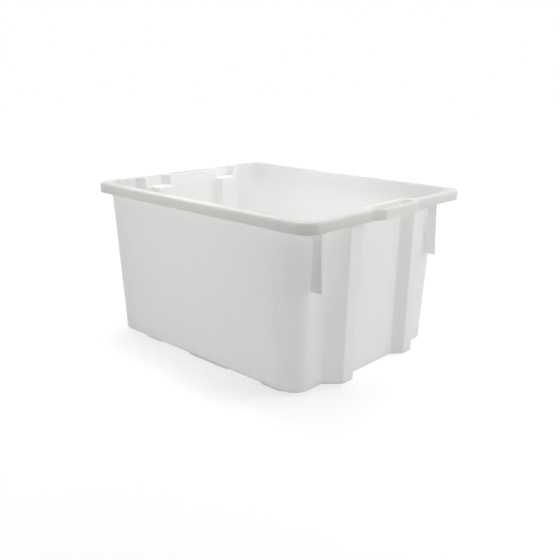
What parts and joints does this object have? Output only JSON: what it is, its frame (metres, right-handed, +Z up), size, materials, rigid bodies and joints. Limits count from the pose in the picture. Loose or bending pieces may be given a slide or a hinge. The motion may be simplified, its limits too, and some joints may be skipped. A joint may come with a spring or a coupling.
{
  "type": "stacking crate",
  "caption": "Open white plastic harvest crate with a rolled rim, end handles, outward and inward columns, stacking seats and nest stops; stacks turned round and nests facing the same way.",
  "frame": {"origin": "on the floor under the middle of the crate", "axes": "+X along the length towards the end whose columns stand outwards, -Y towards the front long wall, +Z up"},
  "size_m": [0.611, 0.5, 0.33],
  "materials": {
    "natural_hdpe": "satin natural polyethylene, milky white"
  },
  "bodies": {
    "root": {"back_base_pad_left": "natural_hdpe", "back_base_pad_middle": "natural_hdpe", "back_base_pad_right": "natural_hdpe", "back_rim": "natural_hdpe", "back_wall": "natural_hdpe", "base_pan": "natural_hdpe", "front_base_pad_left": "natural_hdpe", "front_base_pad_middle": "natural_hdpe", "front_base_pad_right": "natural_hdpe", "front_rim": "natural_hdpe", "front_wall": "natural_hdpe", "left_back_column": "natural_hdpe", "left_back_corner": "natural_hdpe", "left_back_nest_stop": "natural_hdpe", "left_back_pocket": "natural_hdpe", "left_back_rim_corner": "natural_hdpe", "left_back_rim_rail": "natural_hdpe", "left_back_seat": "natural_hdpe", "left_end_panel": "natural_hdpe", "left_front_column": "natural_hdpe", "left_front_corner": "natural_hdpe", "left_front_nest_stop": "natural_hdpe", "left_front_pocket": "natural_hdpe", "left_front_rim_corner": "natural_hdpe", "left_front_rim_rail": "natural_hdpe", "left_front_seat": "natural_hdpe", "left_handle": "natural_hdpe", "right_back_column": "natural_hdpe", "right_back_corner": "natural_hdpe", "right_back_nest_stop": "natural_hdpe", "right_back_pocket": "natural_hdpe", "right_back_rim_corner": "natural_hdpe", "right_back_rim_rail": "natural_hdpe", "right_back_seat": "natural_hdpe", "right_end_panel": "natural_hdpe", "right_front_column": "natural_hdpe", "right_front_corner": "natural_hdpe", "right_front_nest_stop": "natural_hdpe", "right_front_pocket": "natural_hdpe", "right_front_rim_corner": "natural_hdpe", "right_front_rim_rail": "natural_hdpe", "right_front_seat": "natural_hdpe", "right_handle": "natural_hdpe"}
  },
  "joints": []
}
